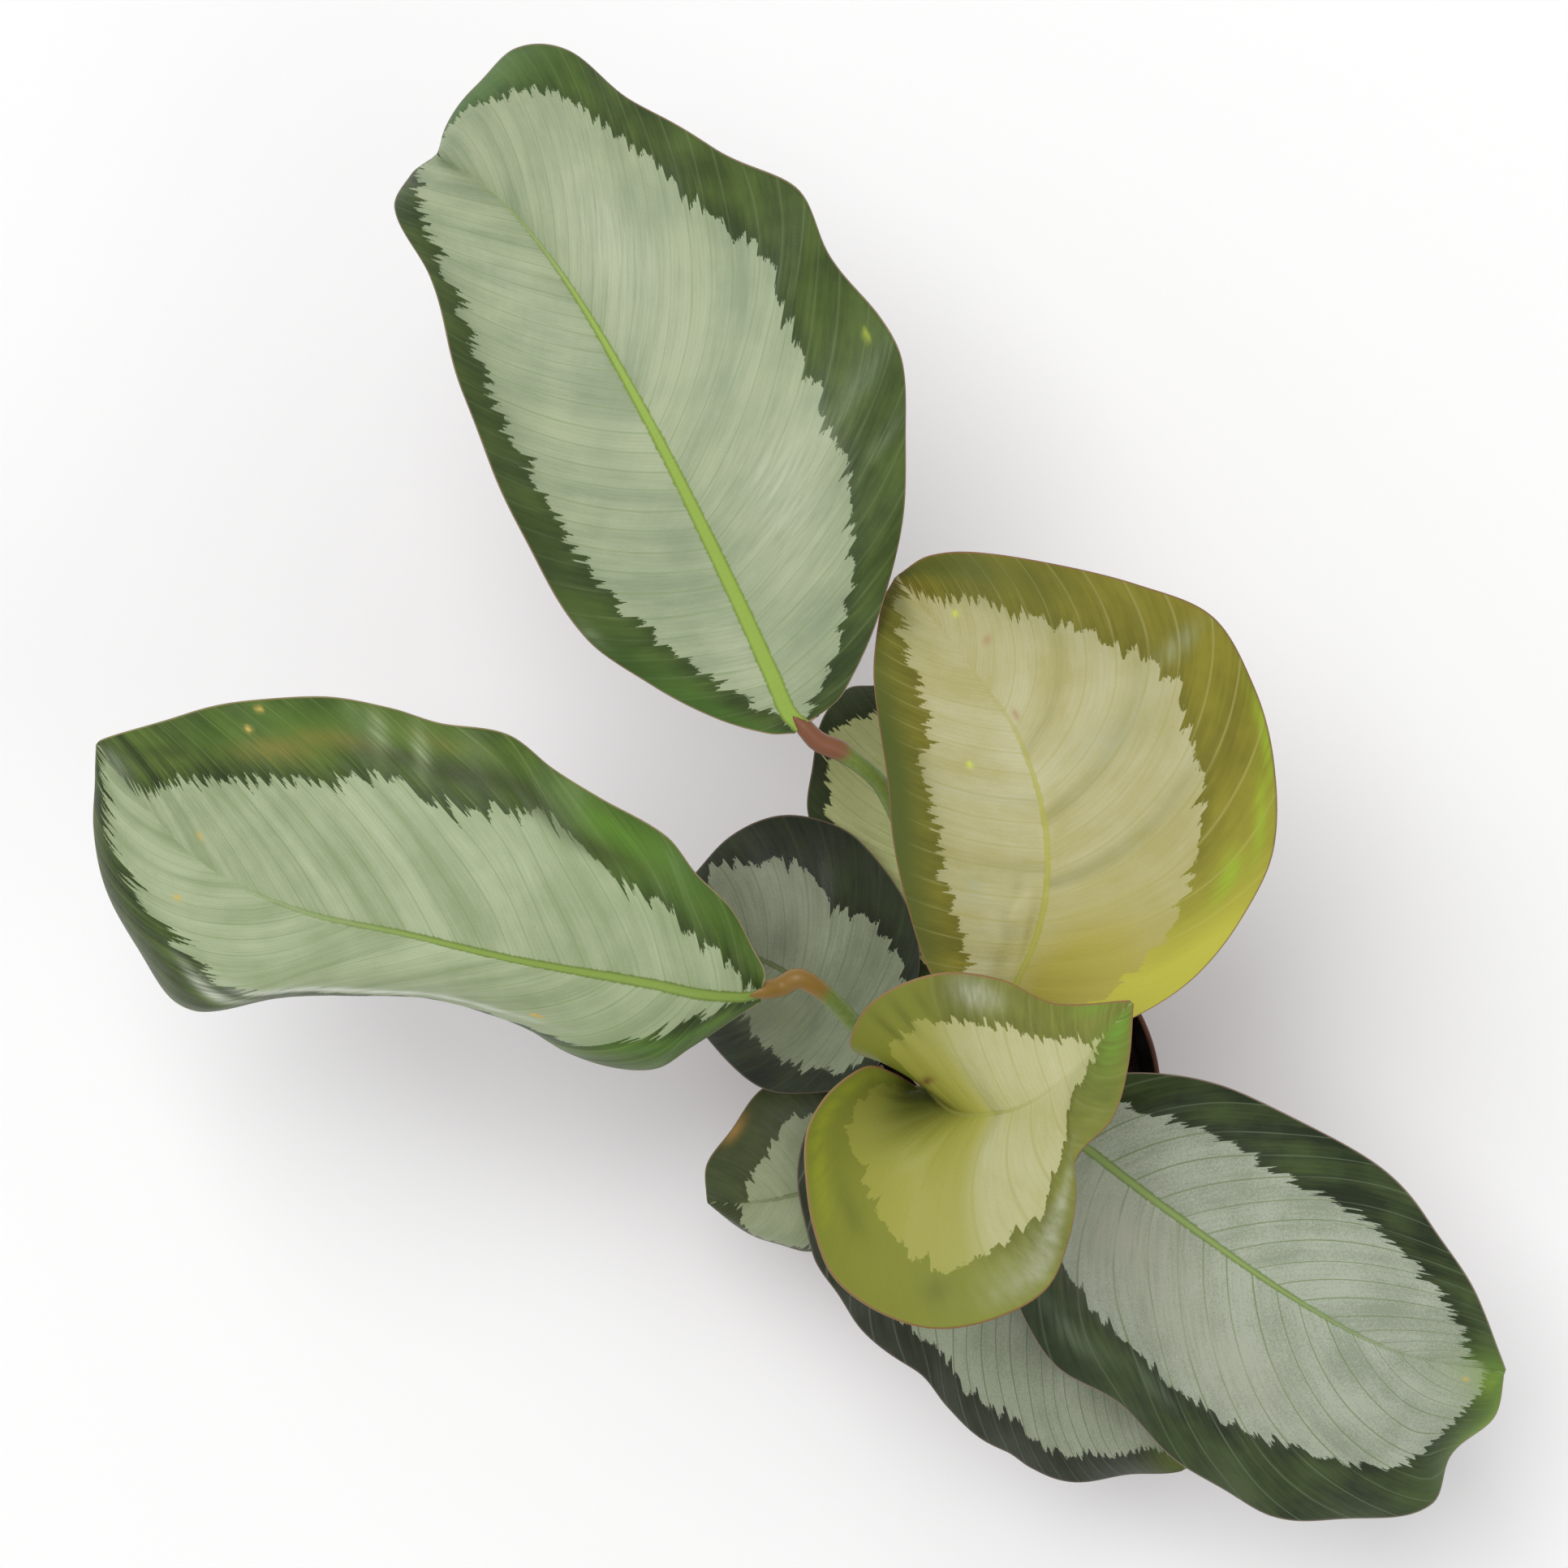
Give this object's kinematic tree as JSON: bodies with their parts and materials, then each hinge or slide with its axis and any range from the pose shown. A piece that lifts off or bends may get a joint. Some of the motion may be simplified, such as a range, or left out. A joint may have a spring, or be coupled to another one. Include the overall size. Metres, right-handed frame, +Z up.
{
  "type": "potted prayer plant",
  "caption": "Young prayer plant with silver-centred, green-edged leaves on slender stalks, growing in a round tapered nursery pot",
  "frame": {"origin": "middle of the pot's underside, on its flat centre pad", "axes": "+Z up, along the pot's axis. The large leaf A grows toward -X and +Y, leaf E toward +X and -Y"},
  "size_m": [0.389, 0.4033, 0.2548],
  "materials": {
    "pot_plastic": "satin",
    "potting_mix": "matte",
    "mature_blade": "satin",
    "young_blade": "satin",
    "new_blade": "satin",
    "shaded_blade": "satin",
    "stalk": "satin"
  },
  "bodies": {
    "root": {"pot": "pot_plastic", "soil": "potting_mix", "blade_a": "mature_blade", "blade_b": "mature_blade", "blade_c": "young_blade", "blade_d": "new_blade", "blade_e": "mature_blade", "blade_f": "shaded_blade", "blade_g": "shaded_blade", "blade_h": "shaded_blade", "blade_i": "shaded_blade", "stalk_a": "stalk", "stalk_b": "stalk", "stalk_c": "stalk", "stalk_d": "stalk", "stalk_e": "stalk", "stalk_f": "stalk", "stalk_g": "stalk", "stalk_h": "stalk", "stalk_i": "stalk"}
  },
  "joints": []
}
